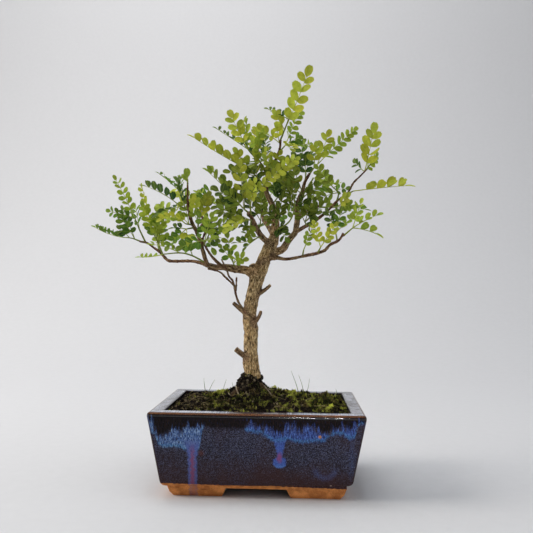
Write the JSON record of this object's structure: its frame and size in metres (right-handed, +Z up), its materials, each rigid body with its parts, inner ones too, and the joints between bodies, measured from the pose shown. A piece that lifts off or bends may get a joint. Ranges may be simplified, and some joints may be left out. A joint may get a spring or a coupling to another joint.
{
  "type": "chinese pepper bonsai in pot",
  "caption": "Chinese pepper bonsai with a leaning trunk and fine pinnate leaves, in a rectangular drip-glazed pot with soil and moss.",
  "frame": {"origin": "centre of the object's plan on the surface that the pot stands on", "axes": "+Z up, and the display side of the tree faces -Y; +X is to the right of someone who looks at the display side"},
  "size_m": [0.2563, 0.1135, 0.3065],
  "materials": {
    "glazed_stoneware": "glossy dark navy-brown glaze with blue drips, unglazed terracotta feet",
    "mesh_plastic": "matt moulded plastic",
    "bark": "rough furrowed tan bark",
    "moss": "soft matt moss",
    "soil": "damp crumbly dark soil",
    "foliage": "satin fresh green leaves"
  },
  "bodies": {
    "root": {"pot": "glazed_stoneware", "drain_mesh_left": "mesh_plastic", "drain_mesh_right": "mesh_plastic", "tree_wood": "bark", "moss_left": "moss", "moss_middle": "moss", "moss_right": "moss", "soil": "soil", "spray_left_tip": "foliage", "spray_left_crown": "foliage", "spray_left_bunch": "foliage", "spray_left_slip": "foliage", "spray_left_arch": "foliage", "spray_left_drop": "foliage", "spray_left_fan": "foliage", "spray_left_dark_low": "foliage", "spray_left_dark_high": "foliage", "spray_left_bright": "foliage", "spray_left_inner": "foliage", "spray_left_core": "foliage", "spray_left_under": "foliage", "spray_left_front": "foliage", "spray_bough_shoot": "foliage", "spray_bough_leaf": "foliage", "spray_leader_low": "foliage", "spray_leader_crown": "foliage", "spray_leader_arm": "foliage", "spray_left_mast": "foliage", "spray_top_left": "foliage", "spray_top_fork": "foliage", "spray_top_tip": "foliage", "spray_top_right": "foliage", "spray_arch_leaf": "foliage", "spray_right_glow": "foliage", "spray_core_left": "foliage", "spray_core_right": "foliage", "spray_core_front": "foliage", "spray_core_low": "foliage", "spray_core_high": "foliage", "spray_right_crown": "foliage", "spray_right_shade": "foliage", "spray_right_hook": "foliage", "spray_right_spire": "foliage", "spray_right_comb": "foliage", "spray_right_bright": "foliage", "spray_right_shelf": "foliage", "spray_right_end": "foliage", "spray_right_ladder": "foliage", "spray_right_low_leaf": "foliage", "spray_right_thorn": "foliage", "spray_right_arm": "foliage", "spray_right_inner": "foliage", "spray_right_bud": "foliage", "spray_back_top": "foliage", "spray_back_middle": "foliage", "spray_back_left": "foliage", "spray_back_right": "foliage"}
  },
  "joints": []
}
